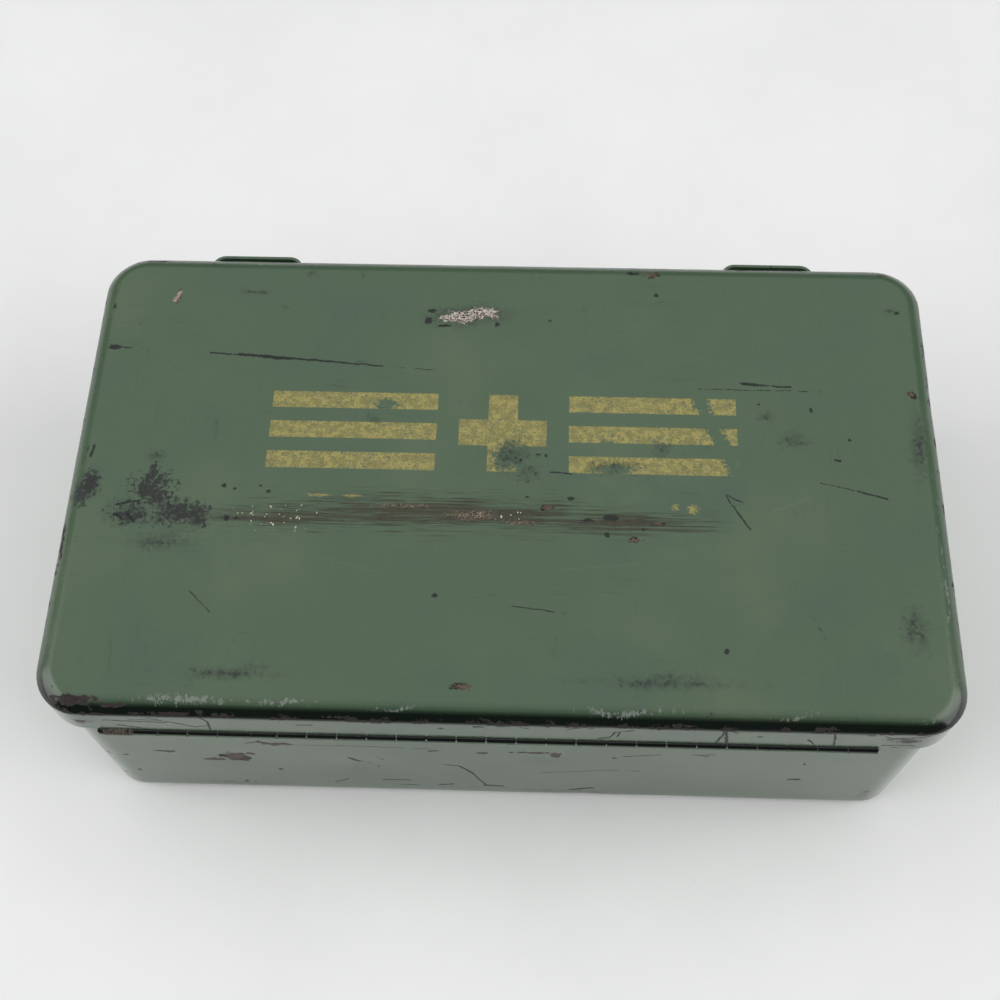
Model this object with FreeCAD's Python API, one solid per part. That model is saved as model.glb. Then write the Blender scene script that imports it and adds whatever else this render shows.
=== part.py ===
import FreeCAD, Part
import math
import os

# A pocket-size steel first aid case: a deep-drawn base, a lid that fits over it, a piano hinge
# along the front (-Y), two pull-down latches at the back (+Y) and ten unit cartons inside.
# Millimetres. The origin is the middle of the case's footprint on the floor, and +Z is up.

Vector = FreeCAD.Vector

# Driving dimensions of the two shells
case_width = 192.5
case_depth = 114.3
case_height = 65.5
sheet = 0.9
skirt_depth = 12.0
lid_corner = 10.0
lid_edge = 3.0
base_inset = 2.0
base_edge = 4.3
rim_drop = 3.2

# Rubber gasket under the lid's top
gasket_offset = 1.2
gasket_inner_offset = 7.0
gasket_height = 2.0
gasket_edge = 1.9

# Piano hinge at the front
hinge_start = -84.3
knuckle_count = 26
knuckle_pitch = 6.3
knuckle_gap = 0.3
knuckle_radius = 1.2
hinge_pin_radius = 0.7
running_clearance = 0.05
leaf_thickness = 0.4
hinge_set_in = 0.4
hinge_below_skirt = 1.55
leaf_notch_height = 1.5
lid_leaf_top = 60.2
base_leaf_top = 60.5

# Latches at the back
latch_centre = 61.5
pivot_height = 43.0
pivot_standoff = 1.85
pivot_barrel = 1.35
pivot_pin_radius = 0.72
bracket_half_width = 10.0
bracket_sheet = 0.8
bracket_bottom = 33.0
bracket_corner = 2.0
lever_half_width = 7.7
lever_knuckle_half_width = 3.4
lever_sheet = 0.7
lever_top = 61.3
lever_standoff = 2.2
lever_knuckle_rise = 2.2
flange_radius = 3.3
flange_gap = 0.35
flange_bottom = 49.8
bead_half_width = 5.0
bead_depth = 0.95
bead_foot_drop = 4.5
bead_peak_drop = 3.2
bead_head_drop = 1.9
strike_half_width = 7.0
strike_sheet = 0.6
strike_reach = 1.5
strike_lip_drop = 5.0
strike_foot_gap = 0.4
bend = 0.6
side_gap = 0.3
rivet_spacing = 12.0
rivet_height = 36.8
rivet_radius = 1.1
rivet_fit = 0.03
rivet_head_radius = 2.1
rivet_head_height = 0.9

# Unit cartons, standing on edge in one row
carton_width = 17.2
carton_length = 101.0
carton_height = 57.2
carton_pitch = 17.35
carton_start = -88.6
carton_floor_gap = 0.05
carton_names = [
    "adhesive_bandage_carton",
    "small_compress_carton",
    "large_compress_carton",
    "triangular_bandage_carton",
    "gauze_pad_carton",
    "eye_dressing_carton",
    "ammonia_inhalant_carton",
    "antiseptic_swab_carton",
    "burn_ointment_carton",
    "tourniquet_and_forceps_carton",
]

# Sizes that follow from the driving dimensions
seam_height = case_height - skirt_depth
lid_face = case_depth / 2
lid_inner_face = lid_face - sheet
base_width = case_width - 2 * base_inset
base_depth = case_depth - 2 * base_inset
base_corner = lid_corner - base_inset
base_face = base_depth / 2
rim_height = case_height - rim_drop
hinge_y = -(lid_face - hinge_set_in)
hinge_z = seam_height - hinge_below_skirt
hinge_length = knuckle_count * knuckle_pitch
pivot_y = base_face + pivot_standoff
lever_y = lid_face + lever_standoff


def box(low, high):
    """A box between two corners."""
    size = [high[axis] - low[axis] for axis in range(3)]
    return Part.makeBox(size[0], size[1], size[2], Vector(*low))


def rod(radius, start, end, y, z):
    """A cylinder along X."""
    return Part.makeCylinder(radius, end - start, Vector(start, y, z), Vector(1, 0, 0))


def upright_edges(shape):
    """The edges of a block that run straight up."""
    return [edge for edge in shape.Edges if abs(edge.tangentAt(edge.FirstParameter).z) > 0.99]


def level_edges(shape, height):
    """The edges of a block that lie at one height."""
    def lies_level(edge):
        bounds = edge.BoundBox
        return abs(bounds.ZMin - height) < 0.01 and abs(bounds.ZMax - height) < 0.01
    return [edge for edge in shape.Edges if lies_level(edge)]


def rounded_block(width, depth, low, high, corner, edge, edge_height):
    """A block with round upright corners and one rounded rim, at edge_height."""
    block = box((-width / 2, -depth / 2, low), (width / 2, depth / 2, high))
    block = block.makeFillet(corner, upright_edges(block))
    if edge:
        block = block.makeFillet(edge, level_edges(block, edge_height))
    return block


def flat_face(edges):
    """A flat face inside a closed outline of edges."""
    return Part.Face(Part.Wire(Part.__sortEdges__(edges)))


def bent_side(points, shift):
    """One side of a bent sheet: lines and bend arcs, moved to the left of the path by shift."""
    edges = []
    directions = [(after - before).normalize() for before, after in zip(points, points[1:])]
    normals = [Vector(0, -way.z, way.y) for way in directions]
    start = points[0] + normals[0] * shift
    for index in range(1, len(points) - 1):
        arrive, leave = directions[index - 1], directions[index]
        left, next_left = normals[index - 1], normals[index]
        side = 1 if left.dot(leave) > 0 else -1
        tangent = bend * math.tan(arrive.getAngle(leave) / 2)
        bend_centre = points[index] - arrive * tangent + left * (bend * side)
        radius = bend - shift * side
        outward = (left + next_left).normalize() * -side
        arc_start = bend_centre - left * (radius * side)
        arc_end = bend_centre - next_left * (radius * side)
        edges.append(Part.makeLine(start, arc_start))
        edges.append(Part.Arc(arc_start, bend_centre + outward * radius, arc_end).toShape())
        start = arc_end
    edges.append(Part.makeLine(start, points[-1] + normals[-1] * shift))
    return edges


def bent_sheet(path, thickness, left, right):
    """A sheet bent along a path of (y, z) points, from x = left to x = right."""
    points = [Vector(0, y, z) for y, z in path]
    one_side = bent_side(points, thickness / 2)
    other_side = bent_side(points, -thickness / 2)
    caps = []
    for end in (0, -1):
        near = one_side[end].Vertexes[end].Point
        far = other_side[end].Vertexes[end].Point
        caps.append(Part.makeLine(near, far))
    solid = flat_face(one_side + other_side + caps).extrude(Vector(right - left, 0, 0))
    return solid.translate(Vector(left, 0, 0))


def mirrored(shape):
    """The shape's twin on the other side of the YZ plane."""
    return shape.mirror(Vector(0, 0, 0), Vector(1, 0, 0))


def rivet_places():
    """X positions of the rivets of one latch bracket, from the latch's own middle."""
    return (-rivet_spacing / 2, rivet_spacing / 2)


def make_base_shell():
    """The deep-drawn base, open at the top, with holes for the bracket rivets."""
    outer = rounded_block(base_width, base_depth, 0, rim_height, base_corner, base_edge, 0)
    inner = rounded_block(base_width - 2 * sheet, base_depth - 2 * sheet, sheet, rim_height,
                          base_corner - sheet, base_edge - sheet, sheet)
    shell = outer.cut(inner)
    hole_radius = rivet_radius + rivet_fit
    for centre in (-latch_centre, latch_centre):
        for place in rivet_places():
            foot = Vector(centre + place, base_face - 2 * sheet, rivet_height)
            shell = shell.cut(Part.makeCylinder(hole_radius, 4 * sheet, foot, Vector(0, 1, 0)))
    return shell


def make_lid_shell():
    """The drawn lid, whose skirt fits over the base's rim."""
    outer = rounded_block(case_width, case_depth, seam_height, case_height,
                          lid_corner, lid_edge, case_height)
    inner_top = case_height - sheet
    inner = rounded_block(case_width - 2 * sheet, case_depth - 2 * sheet, seam_height, inner_top,
                          lid_corner - sheet, lid_edge - sheet, inner_top)
    return outer.cut(inner)


def make_gasket():
    """A flat rubber ring inside the lid's top, above the base's rim."""
    top = case_height - sheet
    low = top - gasket_height
    outer = rounded_block(case_width - 2 * gasket_offset, case_depth - 2 * gasket_offset, low, top,
                          lid_corner - gasket_offset, gasket_edge, top)
    inner = rounded_block(case_width - 2 * gasket_inner_offset,
                          case_depth - 2 * gasket_inner_offset, low, top,
                          lid_corner - gasket_inner_offset, 0, top)
    return outer.cut(inner)


def hinge_leaf(first, plate_back, plate_front, top, web_back, bore_radius):
    """One hinge leaf: a flat plate, and knuckles at every second place from first.

    plate_back and plate_front are the plate's Y limits. Each knuckle's web reaches from the
    pin's side, web_back, to the plate.
    """
    notch = hinge_z + leaf_notch_height
    leaf = box((hinge_start, plate_front, notch), (hinge_start + hinge_length, plate_back, top))
    knuckles = []
    for index in range(first, knuckle_count, 2):
        start = hinge_start + index * knuckle_pitch + knuckle_gap / 2
        end = start + knuckle_pitch - knuckle_gap
        knuckles.append(rod(knuckle_radius, start, end, hinge_y, hinge_z))
        knuckles.append(box((start, plate_front, hinge_z), (end, plate_back, notch)))
        knuckles.append(box((start, web_back, hinge_z - leaf_thickness / 2),
                            (end, plate_back, hinge_z + knuckle_radius - leaf_thickness / 2)))
    leaf = leaf.multiFuse(knuckles).removeSplitter()
    bore = rod(bore_radius, hinge_start, hinge_start + hinge_length, hinge_y, hinge_z)
    return leaf.cut(bore)


def make_lid_leaf():
    """The leaf welded inside the lid's skirt. Its knuckles run freely on the pin."""
    return hinge_leaf(1, -lid_inner_face + leaf_thickness, -lid_inner_face, lid_leaf_top,
                      -lid_inner_face, hinge_pin_radius + running_clearance)


def make_base_leaf():
    """The leaf welded to the base's front wall. Its knuckles are pinched on the pin."""
    return hinge_leaf(0, -base_face, -base_face - leaf_thickness, base_leaf_top,
                      hinge_y + hinge_pin_radius + running_clearance, hinge_pin_radius)


def make_hinge_pin():
    """The hinge's wire pin."""
    return rod(hinge_pin_radius, hinge_start - knuckle_gap, hinge_start + hinge_length + knuckle_gap,
               hinge_y, hinge_z)


def make_bracket():
    """The latch bracket: a riveted plate whose top is curled into two ears for the pin."""
    plate = box((-bracket_half_width, base_face, bracket_bottom),
                (bracket_half_width, base_face + bracket_sheet, pivot_height))
    low_corners = [edge for edge in plate.Edges
                   if abs(edge.tangentAt(edge.FirstParameter).y) > 0.99
                   and edge.CenterOfMass.z < bracket_bottom + 1]
    bracket = plate.makeFillet(bracket_corner, low_corners)
    ears = []
    for side in (-1, 1):
        inner = side * (lever_knuckle_half_width + side_gap)
        outer = side * bracket_half_width
        start, end = min(inner, outer), max(inner, outer)
        ears.append(rod(pivot_barrel, start, end, pivot_y, pivot_height))
        ears.append(box((start, base_face, pivot_height - pivot_barrel),
                        (end, pivot_y, pivot_height)))
    bracket = bracket.multiFuse(ears).removeSplitter()
    notch = lever_knuckle_half_width + side_gap
    bracket = bracket.cut(box((-notch, base_face, pivot_height - pivot_barrel - 2 * side_gap),
                              (notch, pivot_y + pivot_barrel, pivot_height + pivot_barrel)))
    bracket = bracket.cut(rod(pivot_pin_radius, -bracket_half_width, bracket_half_width,
                              pivot_y, pivot_height))
    for place in rivet_places():
        foot = Vector(place, base_face, rivet_height)
        hole = Part.makeCylinder(rivet_radius + rivet_fit, bracket_sheet, foot, Vector(0, 1, 0))
        bracket = bracket.cut(hole)
    return bracket


def make_latch_pin():
    """The latch's pivot pin, pressed into the bracket's ears."""
    reach = bracket_half_width + side_gap
    return rod(pivot_pin_radius, -reach, reach, pivot_y, pivot_height)


def make_rivets():
    """Two rivets that hold a bracket to the base's back wall, each a separate solid."""
    rivets = []
    inside = base_face - sheet
    outside = base_face + bracket_sheet
    dome = (rivet_head_radius ** 2 + rivet_head_height ** 2) / (2 * rivet_head_height)
    for place in rivet_places():
        shank = Part.makeCylinder(rivet_radius, outside - inside,
                                  Vector(place, inside, rivet_height), Vector(0, 1, 0))
        ball = Part.makeSphere(dome, Vector(place, outside + rivet_head_height - dome, rivet_height))
        head = ball.common(box((place - dome, outside, rivet_height - dome),
                               (place + dome, outside + dome, rivet_height + dome)))
        foot = Part.makeCylinder(rivet_head_radius, rivet_head_height / 2,
                                 Vector(place, inside, rivet_height), Vector(0, -1, 0))
        rivets.append(shank.fuse([head, foot]).removeSplitter())
    return rivets


def lever_path(bead):
    """The lever's section, from its knuckle up to the finger edge, with or without the bead."""
    path = [
        (pivot_y + pivot_barrel - lever_sheet / 2 - running_clearance, pivot_height),
        (pivot_y + pivot_barrel - lever_sheet / 2 - running_clearance,
         pivot_height + lever_knuckle_rise),
        (lever_y, flange_bottom),
    ]
    if bead:
        path.append((lever_y, lever_top - bead_foot_drop))
        path.append((lever_y - bead_depth, lever_top - bead_peak_drop))
        path.append((lever_y, lever_top - bead_head_drop))
    path.append((lever_y, lever_top))
    return path


def make_lever():
    """The latch lever: a pressed sheet with side flanges, and a bead that grips the strike."""
    plain = bent_sheet(lever_path(False), lever_sheet, bead_half_width, lever_half_width)
    middle = bent_sheet(lever_path(True), lever_sheet, -bead_half_width, bead_half_width)
    lever = middle.fuse([plain, mirrored(plain)])
    notch_top = pivot_height + pivot_barrel + 2 * side_gap
    for side in (-1, 1):
        inner = side * lever_knuckle_half_width
        outer = side * (bracket_half_width + side_gap)
        lever = lever.cut(box((min(inner, outer), pivot_y - pivot_barrel, pivot_height - pivot_barrel),
                              (max(inner, outer), lever_y + lever_sheet, notch_top)))
    flange = make_flange()
    barrel = rod(pivot_barrel, -lever_knuckle_half_width, lever_knuckle_half_width,
                 pivot_y, pivot_height)
    lever = lever.fuse([flange, mirrored(flange), barrel]).removeSplitter()
    return lever.cut(rod(pivot_pin_radius + running_clearance, -lever_half_width, lever_half_width,
                         pivot_y, pivot_height))


def make_flange():
    """One curved side of the lever, turned back towards the case."""
    centre = Vector(lever_half_width, lever_y + lever_sheet / 2 - flange_radius, flange_bottom)
    end_y = lid_face + flange_gap
    edges = []
    ends = []
    for radius in (flange_radius, flange_radius - lever_sheet):
        start = centre + Vector(0, radius, 0)
        angle = math.asin((end_y - centre.y) / radius)
        middle_angle = (math.pi / 2 + angle) / 2
        middle = centre + Vector(math.cos(middle_angle), math.sin(middle_angle), 0) * radius
        end = centre + Vector(math.cos(angle), math.sin(angle), 0) * radius
        edges.append(Part.Arc(start, middle, end).toShape())
        ends.append((start, end))
    edges.append(Part.makeLine(ends[0][0], ends[1][0]))
    edges.append(Part.makeLine(ends[0][1], ends[1][1]))
    return flat_face(edges).extrude(Vector(0, 0, lever_top - flange_bottom))


def make_strike():
    """The strike on the lid's skirt, whose lip the lever's bead sits over."""
    plate_y = lid_face + strike_sheet / 2
    lip_height = lever_top - strike_lip_drop
    path = [(plate_y, seam_height + strike_foot_gap), (plate_y, lip_height),
            (lid_face + strike_reach, lip_height)]
    return bent_sheet(path, strike_sheet, -strike_half_width, strike_half_width)


def make_carton(index):
    """One unit carton, standing on edge."""
    left = carton_start + index * carton_pitch
    low = sheet + carton_floor_gap
    return box((left, -carton_length / 2, low),
               (left + carton_width, carton_length / 2, low + carton_height))


def write(name, shape):
    """Write one node's STEP file."""
    shape.exportStep("parts/" + name + ".step")


def main():
    os.makedirs("parts", exist_ok=True)
    write("base_shell", make_base_shell())
    write("lid_shell", make_lid_shell())
    write("lid_gasket", make_gasket())
    write("lid_hinge_leaf", make_lid_leaf())
    write("base_hinge_leaf", make_base_leaf())
    write("hinge_pin", make_hinge_pin())
    latch_parts = {
        "latch_bracket": make_bracket(),
        "latch_pin": make_latch_pin(),
        "latch_rivets": Part.makeCompound(make_rivets()),
        "latch_lever": make_lever(),
        "strike": make_strike(),
    }
    for side, centre in (("left", -latch_centre), ("right", latch_centre)):
        for name, shape in latch_parts.items():
            write(name + "_" + side, shape.translated(Vector(centre, 0, 0)))
    for index, name in enumerate(carton_names):
        write(name, make_carton(index))


main()
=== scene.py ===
"""The looks of a worn green steel first aid case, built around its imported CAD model."""

import math

import bmesh
import bpy
import numpy
from mathutils import Euler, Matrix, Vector, noise


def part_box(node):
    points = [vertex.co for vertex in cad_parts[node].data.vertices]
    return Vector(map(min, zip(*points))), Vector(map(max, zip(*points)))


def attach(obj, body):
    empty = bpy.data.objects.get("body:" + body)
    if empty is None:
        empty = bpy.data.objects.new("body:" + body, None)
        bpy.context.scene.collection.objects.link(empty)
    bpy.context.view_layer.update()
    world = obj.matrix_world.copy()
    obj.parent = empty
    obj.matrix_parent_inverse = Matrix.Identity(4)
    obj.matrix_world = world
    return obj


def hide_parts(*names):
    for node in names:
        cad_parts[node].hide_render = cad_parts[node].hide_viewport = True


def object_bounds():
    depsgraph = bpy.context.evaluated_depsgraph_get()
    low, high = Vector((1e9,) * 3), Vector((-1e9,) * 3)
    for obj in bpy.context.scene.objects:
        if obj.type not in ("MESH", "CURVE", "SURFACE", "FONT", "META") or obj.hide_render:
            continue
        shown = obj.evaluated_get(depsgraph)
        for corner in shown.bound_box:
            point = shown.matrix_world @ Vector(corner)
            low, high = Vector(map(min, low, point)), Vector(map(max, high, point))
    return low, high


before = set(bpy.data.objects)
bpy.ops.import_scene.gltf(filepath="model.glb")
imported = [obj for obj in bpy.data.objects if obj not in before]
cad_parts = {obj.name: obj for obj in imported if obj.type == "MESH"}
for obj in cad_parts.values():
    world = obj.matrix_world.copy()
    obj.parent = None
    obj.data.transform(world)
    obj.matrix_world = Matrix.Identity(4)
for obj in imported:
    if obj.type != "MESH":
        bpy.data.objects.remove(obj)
cad_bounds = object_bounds()
# The vector noise depends on this seed
noise.seed_set(5)

MM = 0.001
SHEET = 0.9
LID_EDGE = 3.0
LID_CORNER = 10.0
BASE_EDGE = 4.3
BASE_CORNER = 8.0


# ---------------------------------------------------------------- small helpers

def box_mm(node):
    """A node's lowest and highest corners, in millimetres."""
    low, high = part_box(node)
    return Vector(low) * 1000, Vector(high) * 1000


def half_sizes(low, high, corner):
    """Half of a box's length and width, with its corner's radius."""
    return (high.x - low.x) / 2, (high.y - low.y) / 2, corner


def add_object(name, data):
    made = bpy.data.objects.new(name, data)
    bpy.context.scene.collection.objects.link(made)
    return made


# ---------------------------------------------------------------- node graphs

class Graph:
    """A node tree, with short ways to add the nodes that the materials need."""

    def __init__(self, tree):
        self.nodes = tree.nodes
        self.links = tree.links

    def feed(self, socket, value):
        if isinstance(value, bpy.types.NodeSocket):
            self.links.new(value, socket)
        else:
            socket.default_value = value

    def node(self, kind, inputs=None, **settings):
        made = self.nodes.new("ShaderNode" + kind)
        for name, value in settings.items():
            setattr(made, name, value)
        for key, value in (inputs or {}).items():
            self.feed(made.inputs[key], value)
        return made

    def math(self, operation, first, second=0.0):
        return self.node("Math", {0: first, 1: second}, operation=operation).outputs[0]

    def times(self, first, second):
        return self.math("MULTIPLY", first, second)

    def plus(self, first, second):
        return self.math("ADD", first, second)

    def minus(self, first, second):
        return self.math("SUBTRACT", first, second)

    def larger(self, first, second):
        return self.math("MAXIMUM", first, second)

    def vector(self, operation, first, second=(0.0, 0.0, 0.0)):
        made = self.node("VectorMath", {0: first, 1: second}, operation=operation)
        return made.outputs["Value" if operation in ("DOT_PRODUCT", "LENGTH") else "Vector"]

    def axes(self, vector):
        """A vector's three parts."""
        return self.node("SeparateXYZ", {0: vector}).outputs

    def step(self, value, low, high, start=0.0, end=1.0):
        """Goes smoothly from start to end while value goes from low to high."""
        made = self.node("MapRange", {"Value": value, "From Min": low, "From Max": high,
                                      "To Min": start, "To Max": end},
                         interpolation_type="SMOOTHSTEP", clamp=False)
        return made.outputs["Result"]

    def blend(self, factor, first, second):
        """Mixes two colours."""
        return self.node("Mix", {0: factor, 6: first, 7: second}, data_type="RGBA").outputs[2]

    def middle(self, texture, low, high):
        """The contour lines of a texture: 1 at its middle value, 0 from high away from it."""
        return self.step(self.math("ABSOLUTE", self.minus(texture, 0.5)), low, high, 1.0, 0.0)

    def ragged(self, value, texture, amount, low, high):
        """Where value is high, with an outline broken up by texture."""
        shift = self.times(self.minus(texture, 0.5), amount)
        return self.step(self.plus(value, shift), low, high)

    def most(self, values):
        """The largest of several values."""
        result = values[0]
        for value in values[1:]:
            result = self.larger(result, value)
        return result


def nearness_group(name, sockets):
    """An empty group that gives one value. Returns it, its graph, its inputs and its output."""
    tree = bpy.data.node_groups.new(name, "ShaderNodeTree")
    for socket, kind in sockets.items():
        tree.interface.new_socket(socket, in_out="INPUT", socket_type="NodeSocket" + kind)
    tree.interface.new_socket("Nearness", in_out="OUTPUT", socket_type="NodeSocketFloat")
    given = tree.nodes.new("NodeGroupInput").outputs
    return tree, Graph(tree), given, tree.nodes.new("NodeGroupOutput").inputs[0]


def streak_group():
    """A group that gives 1 on a line from one point to another, falling to 0 at its width."""
    tree, graph, given, result = nearness_group("streak", {
        "Place": "Vector", "From": "Vector", "Along": "Vector", "Share": "Float",
        "Width": "Float"})
    offset = graph.vector("SUBTRACT", given["Place"], given["From"])
    along = graph.times(graph.vector("DOT_PRODUCT", offset, given["Along"]), given["Share"])
    along = graph.math("MINIMUM", graph.larger(along, 0.0), 1.0)
    reach = graph.node("VectorMath", {0: given["Along"], "Scale": along}, operation="SCALE")
    distance = graph.vector("LENGTH", graph.vector("SUBTRACT", offset, reach.outputs[0]))
    graph.feed(result, graph.minus(1.0, graph.math("DIVIDE", distance, given["Width"])))
    return tree


def patch_group():
    """A group that gives 1 at the middle of an ellipsoid, falling to 0 at its surface."""
    tree, graph, given, result = nearness_group("patch", {
        "Place": "Vector", "Centre": "Vector", "Shares": "Vector"})
    offset = graph.vector("SUBTRACT", given["Place"], given["Centre"])
    scaled = graph.vector("MULTIPLY", offset, given["Shares"])
    graph.feed(result, graph.minus(1.0, graph.vector("LENGTH", scaled)))
    return tree


STREAK = streak_group()
PATCH = patch_group()


class Surface(Graph):
    """A material's node tree, with its shader and the place on the piece in millimetres."""

    def __init__(self, name):
        self.material = bpy.data.materials.new(name)
        self.material.use_nodes = True
        super().__init__(self.material.node_tree)
        self.nodes.clear()
        self.shader = self.node("BsdfPrincipled")
        output = self.node("OutputMaterial")
        self.feed(output.inputs["Surface"], self.shader.outputs[0])
        self.place = self.stretched((1000.0,) * 3, self.node("TexCoord").outputs["Object"])

    def set(self, name, value):
        """Gives one of the shader's inputs its value."""
        self.feed(self.shader.inputs[name], value)

    def bump(self, height):
        """Gives the shader a bump from a height in millimetres."""
        made = self.node("Bump", {"Strength": 1.0, "Distance": MM, "Height": height})
        self.set("Normal", made.outputs[0])

    def stretched(self, amounts, place=None):
        """The place with each axis scaled, for a texture that runs along one way."""
        return self.vector("MULTIPLY", place or self.place, amounts)

    def noise(self, scale, detail=2.0, roughness=0.5, place=None):
        return self.node("TexNoise", {"Vector": place or self.place, "Scale": scale,
                                      "Detail": detail, "Roughness": roughness}).outputs["Fac"]

    def warped(self, scale, amount):
        """The place shifted a little by noise, which makes a mark's outline ragged."""
        field = self.node("TexNoise", {"Vector": self.place, "Scale": scale, "Detail": 3.0})
        shift = self.vector("SUBTRACT", field.outputs["Color"], (0.5, 0.5, 0.5))
        return self.vector("ADD", self.place, self.vector("MULTIPLY", shift, (amount,) * 3))

    def attribute(self, name):
        """A value kept at each vertex of the piece."""
        return self.node("Attribute", attribute_name=name).outputs["Fac"]

    def streaks(self, place, marks):
        """The nearness to the nearest of several lines, given as (from, to, width)."""
        nearest = None
        for start, end, width in marks:
            along = Vector(end) - Vector(start)
            found = self.node("Group", {"Place": place, "From": start, "Along": along,
                                        "Share": 1 / along.length_squared, "Width": width},
                              node_tree=STREAK).outputs[0]
            nearest = self.larger(nearest, found) if nearest else found
        return nearest

    def patches(self, place, marks):
        """The nearness to the nearest of several spots, given as (centre, half sizes)."""
        nearest = None
        for centre, size in marks:
            shares = [1 / half for half in size]
            found = self.node("Group", {"Place": place, "Centre": centre, "Shares": shares},
                              node_tree=PATCH).outputs[0]
            nearest = self.larger(nearest, found) if nearest else found
        return nearest

    def scattered(self, place, spacing, share, size):
        """Small spots of uneven size, scattered over the surface."""
        cells = self.node("TexVoronoi", {"Vector": place, "Scale": 1 / spacing}).outputs
        channels = self.node("SeparateColor", {"Color": cells["Color"]}).outputs
        chosen = self.step(channels[0], 1 - share, 1 - share + 0.001)
        radius = self.times(channels[1], size / spacing)
        near = self.minus(radius, cells["Distance"])
        return self.times(chosen, self.step(near, -0.01, 0.02))


# ---------------------------------------------------------------- wear, in millimetres

TOP = 65.5
FRONT = -57.1
WALL = -55.1
BACK = 55.1
SIDE = 94.2


def top_marks(depth, marks):
    """Spots on the lid's top, from (x, y, half x, half y)."""
    return [((x, y, TOP), (half_x, half_y, depth)) for x, y, half_x, half_y in marks]


def wall_marks(plane, depth, marks):
    """Spots on an upright wall, from (x, z, half x, half z)."""
    return [((x, plane, z), (half_x, depth, half_z)) for x, z, half_x, half_z in marks]


def top_lines(lines):
    """Lines on the lid's top, from (x, y, x, y, width)."""
    return [((x1, y1, TOP), (x2, y2, TOP), width) for x1, y1, x2, y2, width in lines]


def wall_lines(plane, lines):
    """Lines on an upright wall, from (x, z, x, z, width)."""
    return [((x1, plane, z1), (x2, plane, z2), width) for x1, z1, x2, z2, width in lines]


# Soft marks: (centre, half sizes), read at each vertex of a shell

LID_BLACK = top_marks(3, [
    (-77.4, -5.4, 5.4, 3.8), (-78, -1.2, 1.2, 3.2), (-77.8, -8.6, 1.8, 2.4), (-74, -9, 2.4, 2.6),
    (-70.6, -11.8, 5.4, 3.4), (-66, -12.4, 3.2, 3.4), (-80.6, -15.4, 9, 0.8),
    (-81.2, -11.8, 5.4, 1.6), (-90.8, -5.2, 2.6, 3.4), (-93, -8, 2.2, 3.2),
]) + wall_marks(FRONT, 1.8, [(83.8, 58.6, 3.4, 2.2)]) + wall_marks(FRONT, 1.5, [
    (79.6, 59.8, 1.6, 0.9),
]) + [((-87, -56.4, 57.6), (1.6, 1.5, 1.2))]

LID_SMUDGE = top_marks(3, [
    (-81.5, -11.6, 8.6, 5.6), (-70, -12, 9, 5), (-91.5, -6, 4.4, 4.6), (-77.5, 2.6, 3.2, 2.2),
    (-65, 10, 1.4, 4.2), (-47.2, 51.8, 1.8, 1.2), (-34.5, 51.8, 1.4, 1), (-60, 46.4, 6, 0.8),
    (-33.8, 26.9, 2.4, 1.9), (-52.5, 41.8, 3, 1), (-10.5, 40.6, 11.5, 3.4), (1, 4, 6.5, 5.6),
    (5, -1, 5, 3), (24, 1.4, 9, 2.6), (34.6, 6.2, 3.2, 3), (-30.5, 12.5, 3, 2.4),
    (64, 9.6, 5, 3.4), (58, 15, 3, 2.6), (16, -7.2, 3, 1.2), (88.4, 44, 2.6, 1.6),
    (88.4, 54.6, 3, 1.2), (91.4, 8, 2.6, 12), (-74, -19, 9, 3.4), (-56, -48, 16, 2.6),
    (34, -48, 22, 2.4), (86, -36, 4, 8),
]) + wall_marks(FRONT, 1.5, [(84.5, 58.8, 6.5, 3.6)]) + [
    ((-85, -56.6, 58.8), (4.5, 1.5, 3.6)),
]

LID_RUST = [
    ((-85.4, -54.8, 65.1), (6.4, 1.5, 1.4)), ((-77.6, -55.3, 64.9), (3.4, 0.7, 0.8)),
    ((-90.6, -53.2, 63.4), (2.6, 3, 1.2)), ((-84, -57, 62.9), (6, 1, 0.6)),
    ((-68, -56.9, 63.4), (8, 1, 0.8)), ((-58, -56.9, 63.7), (5, 1, 0.9)),
    ((-31, -57, 63.3), (4.6, 0.9, 0.35)), ((-10, -57, 63.1), (3, 0.9, 0.25)),
    ((16, -57, 63.3), (3.4, 0.9, 0.3)), ((38, -57, 63.3), (5, 0.9, 0.35)),
    ((66, -57, 63.1), (6, 0.9, 0.3)), ((36.5, -54.4, 65.3), (1, 0.6, 0.8)),
    ((42.8, -54.3, 65.3), (1.3, 0.5, 0.8)), ((95.2, 30, 63.6), (1, 9, 0.8)),
    ((-95.2, -20, 63.4), (1, 7, 0.7)), ((60, 56.6, 63.6), (10, 1, 0.7)),
    ((-86, 55.6, 64.6), (4, 0.9, 0.6)),
]

# Pale scuffs on the lid's rounded edge: real wear, with a painted highlight along the rounding's
# top
LID_SCUFF_AND_HIGHLIGHT = [
    ((-64, -54.4, 65.2), (15, 1.6, 1)), ((-46, -54.4, 65.2), (10, 1.1, 1)),
    ((26, -54.4, 65.2), (13, 1.3, 1)), ((62, -54.6, 65.2), (7, 0.9, 0.9)),
    ((-20, -54.9, 65.2), (8, 0.6, 0.9)), ((88, -54.9, 65.2), (5, 1, 0.9)),
    ((93.6, -20, 65.2), (0.9, 22, 0.9)), ((-60, 54.9, 65.2), (24, 0.7, 0.9)),
]

LID_BAND = top_marks(3, [
    (-18, -10.6, 31, 4.8), (2, -10.8, 18, 3.8), (24, -12.2, 22, 3), (-48, -12.4, 18, 3),
])

BAND_CLUMPS = top_marks(3, [(-6.4, -11, 6.2, 1.5), (-22, -9, 8, 0.5), (4, -12.6, 4, 0.6)])

LID_RUB = top_marks(3, [(-12, 40.5, 5.6, 1.9), (-6.6, 41.2, 6.2, 1.7)])

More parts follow.
